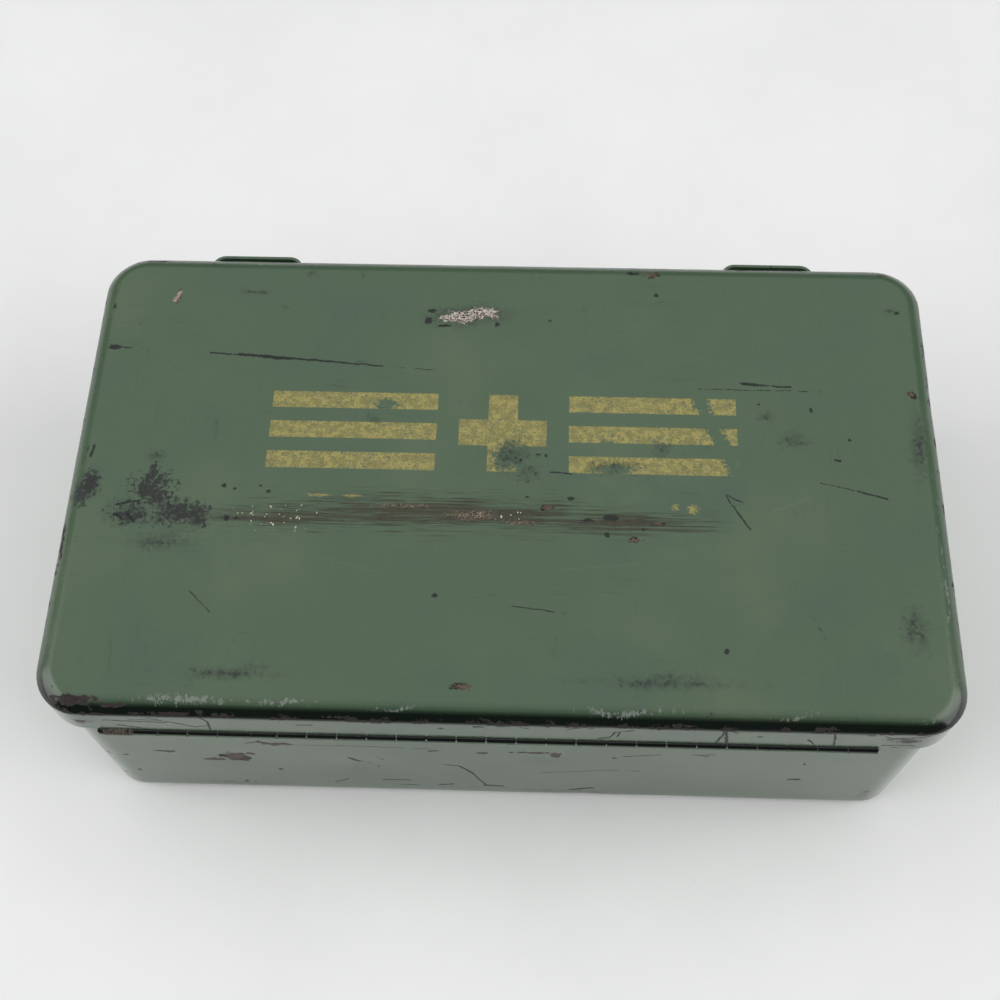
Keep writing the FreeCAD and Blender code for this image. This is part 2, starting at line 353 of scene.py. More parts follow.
BASE_SMUDGE = wall_marks(WALL, 3, [(-32.4, 21.5, 2.6, 4.5)]) + wall_marks(WALL, 4, [
    (-62, 7, 20, 2.4), (20, 5.4, 30, 2),
]) + [
    ((86, -54, 11), (2.4, 3, 9)), ((-94, -46, 30), (3, 5, 20)), ((94, 40, 14), (3, 14, 7)),
] + wall_marks(BACK, 3, [
    (0, 46, 44, 4),
])

BASE_BLACK = [
    ((85.4, -54, 11), (1.2, 3, 6.5)), ((-89.4, -53.2, 28), (1.1, 2, 3.4)),
    ((-89.4, -53.2, 12), (1, 2, 2.2)), ((-72, -52, 1.8), (9, 5, 1.6)),
    ((62, -52, 1.6), (14, 5, 1.4)), ((20, -52, 1.4), (8, 5, 1.2)),
]

BASE_RUST = [
    ((-40, -53, 1.6), (9, 4, 1.6)), ((88, -50, 2), (5, 5, 2.4)), ((-88, 50, 2), (5, 5, 2.4)),
] + wall_marks(BACK, 2, [
    (0, 61, 60, 2),
])

# Crisp marks: spots as (centre, half sizes), lines as (from, to, width)

LID_SPOTS = top_marks(2, [
    (-92.9, 41.7, 0.7, 1), (-91, 30.3, 2.4, 1), (-88.2, 30.2, 1.6, 0.35), (-61.4, -5, 0.9, 0.7),
    (-58.9, -5.7, 0.7, 0.5), (-51.5, -6.2, 0.8, 0.6), (-53.3, -5, 0.7, 0.4), (-60, -13, 0.8, 1.2),
    (-58, -12.9, 0.7, 0.6), (-18.8, 39.2, 1.3, 1.3), (-18.2, 42, 1.5, 0.9), (-15, 37.9, 2.4, 0.6),
    (-2.8, 38.5, 0.9, 0.9), (34.3, 47.4, 1, 0.8), (9.5, 39.7, 0.45, 0.4), (7.4, 4.2, 0.8, 0.5),
    (9, 4, 0.5, 0.4), (3.4, 2.7, 0.6, 0.6), (68.3, 16.9, 0.6, 0.8), (56.6, 18.1, 0.5, 0.4),
    (76.3, 9.6, 0.8, 0.5), (73.3, 4.2, 1.2, 0.5), (5, -6.4, 0.5, 0.5), (22.5, -15.1, 0.8, 1),
    (30.3, -13.7, 0.5, 0.5), (23.3, -10.9, 2.6, 1.2), (18.4, -11.6, 2, 0.5),
    (14.6, -6.6, 1.2, 0.8), (29, 53.6, 2.2, 0.7), (90, 43.6, 0.7, 0.6), (-14, -30, 1, 0.7),
    (47, -41, 0.8, 0.8),
]) + [((29.2, -54.4, 65.3), (0.7, 0.5, 1))]

SKIRT_SPOTS = wall_marks(FRONT, 1, [
    (-3.8, 61.3, 1.8, 0.9), (-11.6, 59.5, 0.9, 0.5), (54, 59.2, 0.8, 0.6), (76, 61.8, 1.2, 0.8),
    (84.2, 58, 2.2, 1.4),
])

SKIRT_CHIPS = [
    ((-86.8, -56.6, 58.4), (1.8, 1.4, 0.9)), ((SIDE+2, 20, 57), (2, 1.6, 1.8)),
    ((-SIDE-2, -16, 56), (2, 2.4, 1)), ((-18, BACK+2, 57), (1.8, 2, 1)),
]

LID_CHIPS = top_marks(2, [
    (-77.9, 45.6, 0.5, 1.3), (-78.4, 43.4, 0.45, 1), (33.2, 53.4, 2.2, 0.9), (91.3, 21.6, 1.3, 1),
    (9.7, -8.9, 1.4, 0.8), (33.4, -12.2, 1.3, 0.8), (28.3, -16.2, 2, 0.6), (-71, 54.8, 1.4, 0.5),
    (88.2, 54.4, 1.4, 0.5), (-7, -50, 2.4, 0.8),
])

LID_LINES = top_lines([
    (-68.6, 29.3, -60, 28.7, 0.36), (-62, 28.9, -51.5, 28.3, 0.6), (-57, 28.3, -50, 27.9, 0.36),
    (-52, 28.3, -40.5, 27.5, 0.42), (-41, 27.5, -28.6, 26.5, 0.34), (-29, 26.5, -16.5, 25.6, 0.16),
    (53.2, 23.6, 57.8, 23.2, 0.5), (57.8, 23.2, 64.2, 22.9, 0.4), (43.5, 22, 71, 21.9, 0.17),
    (69, -1.4, 83.4, -5, 0.17), (77, -3.2, 83.4, -5, 0.34), (48.3, -5, 53.2, -13, 0.28),
    (48.3, -4.8, 52, -6.6, 0.28), (-93.1, 4, -93.5, 1.1, 0.55), (-91.5, 4.3, -92.2, 1.5, 0.45),
    (10.2, -0.1, 14.8, -0.5, 0.26), (-84.6, -10.2, -79.6, -9, 0.4),
    (-84.4, -12.6, -82.6, -13.6, 0.5), (-81.8, -12.4, -80.4, -14, 0.45), (2, -32, 14, -33.6, 0.18),
    (-66, -30, -61, -35, 0.18), (64, -30, 68, -39, 0.2),
])

SKIRT_LINES = wall_lines(FRONT, [
    (-81.5, 59.6, -68.6, 59, 0.45), (-76, 60.7, -69, 60.2, 0.3), (-72.2, 62, -66.4, 58.6, 0.35),
    (-66.6, 58.8, -63, 56.3, 0.4), (-63, 56.3, -60.4, 57.3, 0.32), (-79.4, 56.8, -72.6, 53.8, 0.4),
    (-61.2, 63.2, -59.8, 60.4, 0.42), (-59.8, 60.4, -60.2, 54.4, 0.38),
    (14.4, 60.8, 17.6, 62.6, 0.5), (17.6, 62.5, 24.4, 62.9, 0.34), (21.2, 55.2, 23.4, 56.4, 0.45),
    (23.4, 56.4, 24.2, 59.6, 0.42), (24.2, 59.6, 28, 61.2, 0.42), (24.8, 56.8, 25.2, 60, 0.34),
    (46.6, 62.8, 45.4, 54.4, 0.46), (46.6, 62.8, 47.6, 54.4, 0.52), (46.8, 63.2, 49, 61.4, 0.34),
    (68.4, 63.8, 69.8, 54.8, 0.34), (64, 58.2, 65.4, 55.2, 0.42), (79, 61, 90, 57, 0.52),
    (80, 59, 88.4, 62.2, 0.46), (79.6, 55.2, 86, 55.6, 0.42), (4.8, 61.5, 6.2, 60.8, 0.36),
    (-41.4, 59.4, -38.6, 59.6, 0.45),
])

LID_BARE = top_lines([(-77.9, 46, -78.7, 43.6, 0.6), (-71.6, 54.6, -70.2, 54.9, 0.5)])

LID_PALE = top_lines([
    (58.5, -8.4, 63, -6.8, 0.35), (63, -6.8, 66.5, -5.2, 0.3), (-38, -22, -26, -25, 0.2),
    (12, -23.6, 30, -21.6, 0.2),
])

MARK_WEAR = top_marks(3, [
    (1.4, 3.4, 5.8, 5), (24.4, 1, 6.4, 2), (22.4, 6.4, 1.9, 2.4), (34.8, 6.4, 3, 2.4),
    (-27, 16.6, 4, 1.6),
])

BASE_CHIPS = wall_marks(WALL, 2, [
    (-59.8, 27.8, 3.4, 3.2), (-64.6, 25.6, 3.4, 1.1), (-56, 30.8, 1.2, 1), (-49.4, 38.8, 4, 1.1),
    (-52.8, 40.4, 0.8, 1.2), (-4, 35.9, 1.5, 0.7), (7.6, 36.9, 4.6, 0.7), (12.4, 35.6, 1.5, 2),
    (-14.2, 36.6, 1.4, 0.6), (67.8, 21.1, 1.8, 0.6),
]) + [
    ((SIDE, 20, 31), (2, 2.6, 3.4)), ((SIDE, -31, 14), (2, 3.4, 1.4)),
    ((-SIDE, 8, 22), (2, 3.8, 2.2)), ((-SIDE, -34, 40), (2, 1.6, 2.6)),
] + wall_marks(BACK, 2, [(-30, 20, 4, 2), (22, 34, 2.4, 3), (80, 12, 3, 1.6)])

BASE_SPOTS = wall_marks(WALL, 2, [
    (-85.2, 27.6, 1, 0.7), (-85, 15.4, 0.7, 0.8), (-51, 18.8, 0.8, 0.8), (25.6, 34.3, 0.8, 0.9),
    (67.7, 33.4, 0.6, 0.9), (-60.8, 7.9, 0.5, 0.8),
])

BASE_LINES = wall_lines(WALL, [
    (-77.7, 31.2, -73.4, 31.2, 0.6), (-76.4, 31.6, -74.2, 30.4, 0.5),
    (-56.2, 38.6, -52.4, 40.6, 0.36), (-46, 38.4, -33, 38.9, 0.24), (-33, 38.9, -15, 37.9, 0.26),
    (-33.9, 28.8, -31.8, 26.4, 0.85), (-31, 26.8, -27.6, 22.4, 0.34),
    (-27.3, 30.7, -26.2, 28.6, 0.3), (-12.2, 25.9, -9.2, 25, 0.36), (-9.2, 25, -6.3, 19.4, 0.52),
    (-6.3, 19.4, -3.4, 9.6, 0.4), (-3.6, 9.2, 0.4, 8.8, 0.75), (9.3, 21.2, 23.2, 24.2, 0.26),
    (23.2, 24.2, 32, 24.2, 0.26), (27.6, 35.8, 35.4, 37.8, 0.4), (42.6, 38.2, 47.2, 39, 0.36),
    (44.2, 38.4, 45.8, 37.4, 0.44), (17, 7.4, 21.8, 9.2, 0.85), (-14.4, 8.8, -11.4, 9.6, 0.7),
    (-27.6, 11.7, -21.4, 12.2, 0.45), (-24, 8, -19.8, 8, 0.4), (-39.4, 8.7, -36.2, 11.8, 0.34),
]) + [
    ((SIDE, -10, 44), (SIDE, 30, 36), 0.4), ((-SIDE, -20, 12), (-SIDE, 20, 17), 0.4),
] + wall_lines(BACK, [
    (-10, 40, 34, 28, 0.4), (-90, 24, -76, 30, 0.5),
])

GOLD_REMNANTS = top_marks(2, [
    (-40.5, -6.9, 2.6, 0.5), (-33.1, -6.9, 2.3, 0.5), (37.3, -8.3, 0.9, 0.9),
    (41.1, -8.6, 1.3, 1.4),
])

LID_FLECKS = top_marks(3, [
    (-49.5, -12.2, 12, 4.4), (-5, -11.2, 8, 1.6), (4, -10.8, 3.2, 1.4), (33.8, -12.4, 1.2, 0.7),
])

MARK_SCRAPE = [((43.6, 18.4, TOP), (50.8, 1, TOP), 2.4)]

HINGE_DARK = [((86, -57, 52), (20, 9, 9))]

LID_MARKS = {"black": LID_BLACK, "smudge": LID_SMUDGE, "rust": LID_RUST, "band": LID_BAND,
             "rub": LID_RUB, "scuff_and_highlight": LID_SCUFF_AND_HIGHLIGHT}
BASE_MARKS = {"black": BASE_BLACK, "smudge": BASE_SMUDGE, "rust": BASE_RUST}

MARK_CENTRE = (-0.7, 9.6, TOP)
MARK_HALF_HEIGHT = 9.8
MARK_HALF_WIDTH = 52.2
MARK_ARM = 3.3
MARK_BAR = 2.1
MARK_GAP = 5.0

GREEN = (0.060, 0.104, 0.058, 1)
GREEN_OLIVE = (0.076, 0.120, 0.067, 1)
GREEN_BLUE = (0.054, 0.098, 0.062, 1)
GREEN_CHALKY = (0.092, 0.135, 0.090, 1)
GREEN_SCUFF_AND_HIGHLIGHT = (0.19, 0.21, 0.19, 1)
# Painted shade for the lid's rounding
GREEN_PAINTED_SHADE = (0.0015, 0.0035, 0.002, 1)
HINGE_BLACK = (0.002, 0.003, 0.0025, 1)
BLACK_GRIME = (0.005, 0.007, 0.007, 1)
BAND_OLIVE = (0.064, 0.060, 0.026, 1)
BAND_BROWN = (0.024, 0.020, 0.010, 1)
BAND_CLUMP = (0.21, 0.165, 0.115, 1)
RUB_BROWN = (0.050, 0.036, 0.032, 1)
RUST_DARK = (0.006, 0.004, 0.0035, 1)
RUST_RED = (0.034, 0.015, 0.011, 1)
RUST_TAN = (0.125, 0.092, 0.066, 1)
GRIME_GREY = (0.022, 0.024, 0.022, 1)
STEEL_BRIGHT = (0.58, 0.51, 0.45, 1)
CREAM = (0.55, 0.50, 0.36, 1)
PINK_CREAM = (0.42, 0.29, 0.24, 1)
GOLD = (0.330, 0.280, 0.082, 1)
GOLD_DULL = (0.200, 0.180, 0.055, 1)
RUBBER = (0.020, 0.020, 0.021, 1)
RUBBER_DUSTY = (0.060, 0.058, 0.054, 1)


class Coat(Surface):
    """A painted surface that gets marks laid over it one at a time."""

    def __init__(self, name):
        super().__init__(name)
        self.paint()
        self.fine = self.noise(2.2, 5.0, 0.75)
        self.medium = self.noise(0.55, 6.0, 0.7)
        self.damage = 0.0
        self.polish = 0.0
        self.bare = 0.0

    def paint(self):
        """The enamel's own colour: green with olive, bluish and chalky clouds."""
        cloud = self.step(self.noise(0.016, 4.0, 0.6), 0.42, 0.66)
        self.colour = self.blend(cloud, GREEN, GREEN_OLIVE)
        cool = self.noise(0.04, 5.0, 0.6, self.vector("ADD", self.place, (310.0, 0.0, 0.0)))
        self.lay(self.step(cool, 0.48, 0.70, 0.0, 0.9), GREEN_BLUE)
        grain = self.noise(1.6, 5.0, 0.75)
        self.lay(self.step(grain, 0.48, 0.80, 0.0, 0.26), GREEN_CHALKY)

    def lay(self, mask, colour, damage=0.0, share=1.0):
        """Lays a colour where mask is 1, and roughens the surface there."""
        if share != 1.0:
            mask = self.times(mask, share)
        self.colour = self.blend(mask, self.colour, colour)
        if damage:
            self.damage = self.larger(self.damage, self.times(mask, damage))

    def metal(self, mask, colour, share):
        self.lay(mask, colour)
        self.bare = self.larger(self.bare, self.times(mask, share))

    def hairlines(self, seed, amounts, colour, share):
        """Very fine scratches: the contour lines of a stretched noise, here and there."""
        moved = self.vector("ADD", self.place, seed)
        line = self.middle(self.noise(1.0, place=self.stretched(amounts, moved)), 0.0, 0.006)
        present = self.step(self.noise(0.06, 3.0, place=moved), 0.52, 0.62)
        self.lay(self.times(line, present), colour, share=share)

    def pitted(self, height, rust, chips):
        """The height with rough rust and sunken chips in it."""
        relief = self.minus(self.times(self.fine, 0.10), 0.07)
        height = self.plus(height, self.times(rust, relief))
        return self.minus(height, self.times(chips, 0.05))

    def finish(self, height, gloss=(0.24, 0.34)):
        """Joins the layers to the shader. height is in millimetres."""
        self.set("Base Color", self.colour)
        self.set("Metallic", self.bare)
        rough = self.step(self.noise(0.08, 4.0, 0.6), 0.35, 0.70, gloss[0], gloss[1])
        self.set("Roughness", self.minus(self.plus(rough, self.damage), self.polish))
        self.set("IOR", 1.5)
        self.bump(height)
        return self.material


def fine_scratches(coat):
    """Thin dark hairlines and faint pale scuffs all over."""
    coat.hairlines((0.0, 0.0, 40.0), (0.012, 0.55, 0.10), BLACK_GRIME, 0.30)
    coat.hairlines((70.0, 0.0, 0.0), (0.40, 0.018, 0.12), BLACK_GRIME, 0.22)
    coat.hairlines((0.0, 200.0, 90.0), (0.020, 0.30, 0.16), GREEN_CHALKY, 0.22)


def soft_marks(coat):
    """Smudges, black grime and rust from the shell's own values, rust on worn edges, and painted
    shade on the lid's rounding.
    """
    field = coat.attribute("smudge")
    coat.lay(coat.ragged(field, coat.medium, 2.4, 0.05, 1.05), BLACK_GRIME, 0.12, 0.42)
    fibre = coat.noise(0.9, 6.0, 0.75, coat.warped(1.1, 1.6))
    coat.lay(coat.ragged(field, fibre, 5.0, 0.65, 1.05), BLACK_GRIME, 0.25, 0.7)
    black = coat.ragged(coat.attribute("black"), fibre, 4.6, 0.04, 0.40)
    tone = coat.blend(coat.step(coat.fine, 0.46, 0.62), BLACK_GRIME, GRIME_GREY)
    coat.lay(black, tone, 0.22, 0.95)
    exposed = coat.times(coat.attribute("edge"), 0.30)
    worn = coat.step(coat.plus(exposed, coat.noise(0.22, 5.0, 0.7)), 0.80, 0.86)
    deep = coat.attribute("deep")
    # Painted shade: the lid's rounding is painted near black, most low on it and along the front,
    # and made a little glossier there.
    coat.lay(deep, GREEN_PAINTED_SHADE, share=0.97)
    coat.polish = coat.times(deep, 0.12)
    rust = coat.larger(coat.ragged(coat.attribute("rust"), coat.medium, 4.2, 0.16, 0.36), worn)
    coat.lay(rust, coat.blend(coat.step(coat.fine, 0.50, 0.60), RUST_DARK, RUST_RED), 0.50)
    return rust


def crisp_marks(coat, spots, lines, chips):
    """Dark spots and lines, and chips with a dark rim. Returns the chips' mask."""
    rough = coat.warped(0.9, 1.2)
    wavy = coat.warped(0.35, 0.9)
    found = coat.streaks(wavy, lines)
    coat.lay(coat.ragged(found, coat.fine, 2.4, 0.26, 0.46), BLACK_GRIME, 0.50, 0.92)
    found = coat.patches(rough, spots)
    coat.lay(coat.ragged(found, coat.fine, 1.2, 0.22, 0.42), BLACK_GRIME, 0.45, 0.92)
    dashes = coat.scattered(coat.stretched((0.16, 1.3, 1.3), wavy), 3.2, 0.035, 0.22)
    dots = coat.scattered(rough, 11.0, 0.08, 0.7)
    coat.lay(coat.larger(dots, dashes), BLACK_GRIME, share=0.75)
    coat.lay(coat.scattered(coat.place, 17.0, 0.16, 0.30), CREAM, share=0.8)
    found = coat.patches(rough, chips)
    rim = coat.ragged(found, coat.medium, 3.4, 0.06, 0.20)
    coat.lay(rim, RUST_DARK, 0.55)
    coat.lay(coat.ragged(found, coat.fine, 4.6, 0.30, 0.50), RUST_TAN, 0.45, 0.85)
    return rim


def folded_box(coat, folded, x, y, half_x, half_y):
    """1 inside a rectangle beside the marking's centre, mirrored both ways, 0 outside."""
    offset = coat.vector("SUBTRACT", folded, (x, y, 0.0))
    parts = coat.axes(coat.vector("ABSOLUTE", offset))
    across = coat.step(parts[0], half_x - 0.1, half_x + 0.1, 1.0, 0.0)
    along = coat.step(parts[1], half_y - 0.1, half_y + 0.1, 1.0, 0.0)
    return coat.times(across, along)


def marking(coat):
    """A plain cross between two blocks of three bars, before any wear."""
    offset = coat.vector("SUBTRACT", coat.warped(1.4, 0.22), MARK_CENTRE)
    folded = coat.vector("ABSOLUTE", offset)
    inner = MARK_HALF_HEIGHT + MARK_GAP
    half_bar = (MARK_HALF_WIDTH - inner) / 2
    middle = inner + half_bar
    outer = MARK_HALF_HEIGHT - MARK_BAR
    shapes = [folded_box(coat, folded, *box) for box in (
        (0.0, 0.0, MARK_ARM, MARK_HALF_HEIGHT), (0.0, 0.0, MARK_HALF_HEIGHT, MARK_ARM),
        (middle, 0.0, half_bar, MARK_BAR), (middle, outer, half_bar, MARK_BAR))]
    level = coat.axes(folded)[2]
    return coat.times(coat.most(shapes), coat.step(level, 0.6, 1.0, 1.0, 0.0))


def flaking(coat):
    """1 where the marking's paint has come off."""
    speckle = coat.step(coat.noise(2.0, 4.0, 0.95), 0.545, 0.575)
    patchy = coat.step(coat.noise(0.8, 5.0, 0.8), 0.61, 0.66)
    cracks = coat.middle(coat.noise(0.55, 1.0, place=coat.warped(0.8, 1.0)), 0.004, 0.012)
    worn = coat.patches(coat.warped(0.35, 3.0), MARK_WEAR)
    worn = coat.ragged(worn, coat.noise(1.2, 5.0, 0.75), 2.6, 0.18, 0.42)
    scrape = coat.streaks(coat.warped(0.5, 1.2), MARK_SCRAPE)
    scrape = coat.ragged(scrape, coat.noise(1.4, 4.0, 0.7), 2.6, 0.15, 0.45)
    return coat.most([speckle, patchy, coat.times(cracks, 0.7), worn, scrape])


def gold_layer(coat):
    """The gold marking and the remnants of older gold. Returns the marking's mask."""
    mark = marking(coat)
    remnants = coat.patches(coat.warped(0.9, 0.8), GOLD_REMNANTS)
    remnants = coat.ragged(remnants, coat.fine, 5.0, 0.15, 0.40)
    kept = coat.minus(1.0, flaking(coat))
    mask = coat.times(coat.larger(mark, remnants), kept)
    coat.lay(mask, coat.blend(coat.step(coat.medium, 0.42, 0.60), GOLD, GOLD_DULL), 0.10)
    return mark


def brown_band(coat):
    """The long brown scrape, with reddish clumps in it. Returns a texture of squiggles."""
    streaky = coat.noise(1.0, 4.0, 0.75, coat.stretched((0.07, 2.6, 1.0)))
    field = coat.attribute("band")
    coat.lay(coat.ragged(field, streaky, 4.4, -0.05, 0.75), BAND_BROWN, 0.2, 0.92)
    coat.lay(coat.ragged(field, coat.medium, 3.4, 0.3, 1.2), BAND_OLIVE, 0.1, 0.36)
    clump = coat.patches(coat.warped(0.5, 1.4), BAND_CLUMPS)
    clump = coat.ragged(clump, coat.fine, 4.4, 0.20, 0.5)
    coat.lay(clump, RUST_RED, 0.3, 0.8)
    squiggle = coat.middle(coat.noise(1.5, 2.0, 0.6, coat.warped(1.4, 0.8)), 0.03, 0.07)
    coat.lay(coat.times(clump, squiggle), BAND_CLUMP, 0.3, 0.85)
    return squiggle


def pale_marks(coat):
    """Scuffs and a painted highlight on the edge, faint pale lines and bare streaks."""
    scuff_and_highlight = coat.noise(1.0, 4.0, 0.8, coat.stretched((1.4, 0.7, 0.7)))
    scuff_and_highlight = coat.ragged(coat.attribute("scuff_and_highlight"), scuff_and_highlight, 4.4, 0.42, 0.78)
    # Painted highlight with real scuffs: pale grey along the top of the lid's rounding.
    coat.lay(scuff_and_highlight, GREEN_SCUFF_AND_HIGHLIGHT, 0.1, 0.8)
    pale = coat.streaks(coat.warped(0.5, 0.6), LID_PALE)
    coat.lay(coat.ragged(pale, coat.fine, 1.6, 0.25, 0.5), GREEN_CHALKY, share=0.6)
    bare = coat.streaks(coat.warped(0.9, 0.8), LID_BARE)
    coat.lay(coat.ragged(bare, coat.fine, 5.0, 0.30, 0.55), PINK_CREAM, 0.2, 0.9)


def bare_rub(coat, squiggle):
    """The rubbed spot behind the marking: bare squiggles of steel on brown."""
    field = coat.attribute("rub")
    coat.lay(coat.ragged(field, coat.fine, 6.0, -0.25, 0.05), GRIME_GREY, 0.15, 0.6)
    under = coat.ragged(field, coat.medium, 2.2, 0.02, 0.30)
    coat.lay(under, RUB_BROWN, 0.15, 0.9)
    coat.metal(coat.times(under, squiggle), STEEL_BRIGHT, 0.2)


def lid_enamel():
    """The lid's top: green enamel, with its gold marking and all its wear."""
    coat = Coat("green_enamel_lid")
    fine_scratches(coat)
    mark = gold_layer(coat)
    rust = soft_marks(coat)
    squiggle = brown_band(coat)
    chips = crisp_marks(coat, LID_SPOTS, LID_LINES, LID_CHIPS)
    pale_marks(coat)
    bare_rub(coat, squiggle)
    flecks = coat.patches(coat.place, LID_FLECKS)
    texture = coat.noise(1.15, 2.0, 0.55)
    flecks = coat.times(coat.step(flecks, 0.0, 0.35), coat.step(texture, 0.665, 0.70))
    coat.lay(flecks, CREAM)
    height = coat.plus(coat.times(coat.noise(1.0), 0.012), coat.times(mark, 0.02))
    return coat.finish(coat.pitted(height, rust, chips))


def wall_enamel(name, spots, lines, chips):
    """The green enamel of a shell's upright walls, and its wear."""
    coat = Coat(name)
    fine_scratches(coat)
    rust = soft_marks(coat)
    chips = crisp_marks(coat, spots, lines, chips)
    height = coat.times(coat.noise(0.7), 0.008)
    return coat.finish(coat.pitted(height, rust, chips), (0.11, 0.19))


def small_enamel(name, rusty_end=None, painted_shade_from=None):
    """Worn enamel for the latches and the hinge, from noise, with painted shade near black on the
    hinge's upper part and a near-black patch at its right end.
    """
    coat = Coat(name)
    if painted_shade_from:
        level = coat.axes(coat.place)[2]
        # Painted shade: near black above this height, where the lid's hem shades the hinge, and
        # near black in a patch at its right end.
        coat.lay(coat.step(level, painted_shade_from, painted_shade_from + 0.2), HINGE_BLACK, share=0.97)
        coat.lay(coat.patches(coat.place, HINGE_DARK), HINGE_BLACK)
    rust = coat.step(coat.noise(0.7, 4.0, 0.6), 0.64, 0.68)
    coat.lay(rust, RUST_DARK, 0.25)
    coat.lay(coat.step(coat.medium, 0.52, 0.70), BLACK_GRIME, 0.15, 0.5)
    if rusty_end:
        end = coat.ragged(coat.patches(coat.place, [rusty_end]), coat.fine, 1.0, 0.1, 0.2)
        tone = coat.blend(coat.step(coat.fine, 0.44, 0.60), RUST_DARK, RUST_TAN)
        coat.lay(end, tone, 0.3)
        rust = coat.larger(rust, end)
    height = coat.times(coat.noise(1.0), 0.012)
    relief = coat.minus(coat.times(coat.fine, 0.08), 0.05)
    return coat.finish(coat.plus(height, coat.times(rust, relief)), (0.13, 0.22))


def inside_enamel():
    """The same green inside, cleaner, with rubbed and dusty places."""
    coat = Coat("green_enamel_inside")
    coat.lay(coat.step(coat.noise(0.35, 6.0, 0.7), 0.60, 0.70), GREEN_CHALKY, 0.1, 0.5)
    coat.lay(coat.scattered(coat.warped(0.9, 1.6), 12.0, 0.14, 0.9), RUST_DARK, 0.2)
    return coat.finish(coat.times(coat.noise(1.1), 0.014), (0.30, 0.42))


def steel(name, colour):
    """Tarnished bright steel for pins."""
    made = Surface(name)
    tarnish = made.step(made.noise(0.6, 5.0, 0.7), 0.42, 0.66)
    made.set("Base Color", made.blend(tarnish, colour, RUST_DARK))
    made.set("Metallic", 0.9)
    made.set("Roughness", made.step(tarnish, 0.0, 1.0, 0.32, 0.62))
    made.bump(made.times(made.noise(2.4, 3.0), 0.02))
    return made.material


def rubber():
    """Matt black rubber with a faint dusty bloom."""
    made = Surface("gasket_rubber")
    bloom = made.step(made.noise(0.25, 5.0, 0.65), 0.42, 0.72)
    made.set("Base Color", made.blend(bloom, RUBBER, RUBBER_DUSTY))
    made.set("Roughness", made.step(bloom, 0.0, 1.0, 0.55, 0.8))
    made.bump(made.times(made.noise(3.0, 3.0), 0.02))
    return made.material


# ---------------------------------------------------------------- shells

SHELL_STEPS = (12, 84, 46)
CARTON_STEPS = (4, 8, 40)
SHEET_WOBBLE = 0.06
MARK_WANDER = 1.1
EDGE_WIDTH = 2.5
TOP_EDGE = 2.0


def turned(degrees):
    """The unit vector at an angle from X towards Y."""
    angle = math.radians(degrees)
    return Vector((math.cos(angle), math.sin(angle)))


def outline(half_x, half_y, corner, steps):
    """Points round a rounded rectangle, from the middle of its first corner's arc.

    steps counts the divisions of each corner, of the sides along X and of those along Y.
    """
    arc_steps = steps[0]
    points = []
    for index, (way_x, way_y) in enumerate([(1, 1), (-1, 1), (-1, -1), (1, -1)]):
        middle = Vector((way_x * (half_x - corner), way_y * (half_y - corner)))
        points += [middle + turned(90 * (index + step / arc_steps)) * corner
                   for step in range(arc_steps + 1)]
        start = points[-1]
        along = turned(90 * (index + 2)) * 2 * ((half_y if index % 2 else half_x) - corner)
        count = steps[1 + index % 2]
        points += [start + along * step / count for step in range(1, count)]
    half = arc_steps // 2
    return points[half:] + points[:half]


def arc_profile(inset, height, radius, start, end, steps):
    """Profile points round a rounded edge, as (inset, height), angles in degrees."""
    points = []
    for step in range(steps + 1):
        angle = math.radians(start + (end - start) * step / steps)
        points.append((inset - radius * math.cos(angle), height + radius * math.sin(angle)))
    return points


def run(start, end, spacing):
    """Evenly spaced profile points from start to just before end."""
    count = max(1, round(math.dist(start, end) / spacing))
    return [tuple(a + (b - a) * step / count for a, b in zip(start, end))
            for step in range(count)]


def join_rings(mesh, lower, upper):
    """Joins two rings of vertices with faces."""
    for index in range(len(lower)):
        after = (index + 1) % len(lower)
        mesh.faces.new((lower[index], lower[after], upper[after], upper[index]))


def ring_stack(mesh, size, profile, steps, centre=(0.0, 0.0), closed=False):
    """Rounded-rectangle rings, one per profile point, joined by faces. Returns the rings."""
    half_x, half_y, corner = size
    rings = []
    for inset, height in profile:
        flat = outline(half_x - inset, half_y - inset, max(corner - inset, 0.2), steps)
        rings.append([mesh.verts.new((point.x + centre[0], point.y + centre[1], height))
                      for point in flat])
    for lower, upper in zip(rings, rings[1:] + rings[:1] if closed else rings[1:]):
        join_rings(mesh, lower, upper)
    return rings


def fill_flat(mesh, ring, steps):
    """Fills a ring of vertices with an even grid. Returns the new vertices."""
    columns = steps[0] + steps[1]
    rows = steps[0] + steps[2]
    closed = ring + [ring[0]]
    back = closed[:columns + 1]
    left = closed[columns:columns + rows + 1]
    front = closed[columns + rows:2 * columns + rows + 1][::-1]
    right = closed[2 * columns + rows:][::-1]
    grid = [back]
    for row in range(1, rows):
        v = row / rows
        line = [right[row]]
        for column in range(1, columns):
            u = column / columns
            across = right[row].co.lerp(left[row].co, u)
            along = back[column].co.lerp(front[column].co, v)
            corners = back[0].co.lerp(back[-1].co, u).lerp(front[0].co.lerp(front[-1].co, u), v)
            line.append(mesh.verts.new(across + along - corners))
        grid.append(line + [left[row]])
    grid.append(front)
    for upper, lower in zip(grid, grid[1:]):
        for column in range(columns):
            mesh.faces.new((upper[column], upper[column + 1], lower[column + 1], lower[column]))
    return [vertex for line in grid[1:-1] for vertex in line[1:-1]]


def press(mesh, depth_at, outwards=()):
    """Moves each vertex in by its depth, or out if it is named. Returns the old places."""
    bmesh.ops.recalc_face_normals(mesh, faces=mesh.faces)
    mesh.normal_update()
    before = numpy.array([tuple(vertex.co) for vertex in mesh.verts])
    moves = [vertex.normal * (depth_at(vertex.co) * (1 if vertex in outwards else -1))
             for vertex in mesh.verts]
    for vertex, move in zip(mesh.verts, moves):
        vertex.co += move
    for face in mesh.faces:
        face.smooth = True
    return before


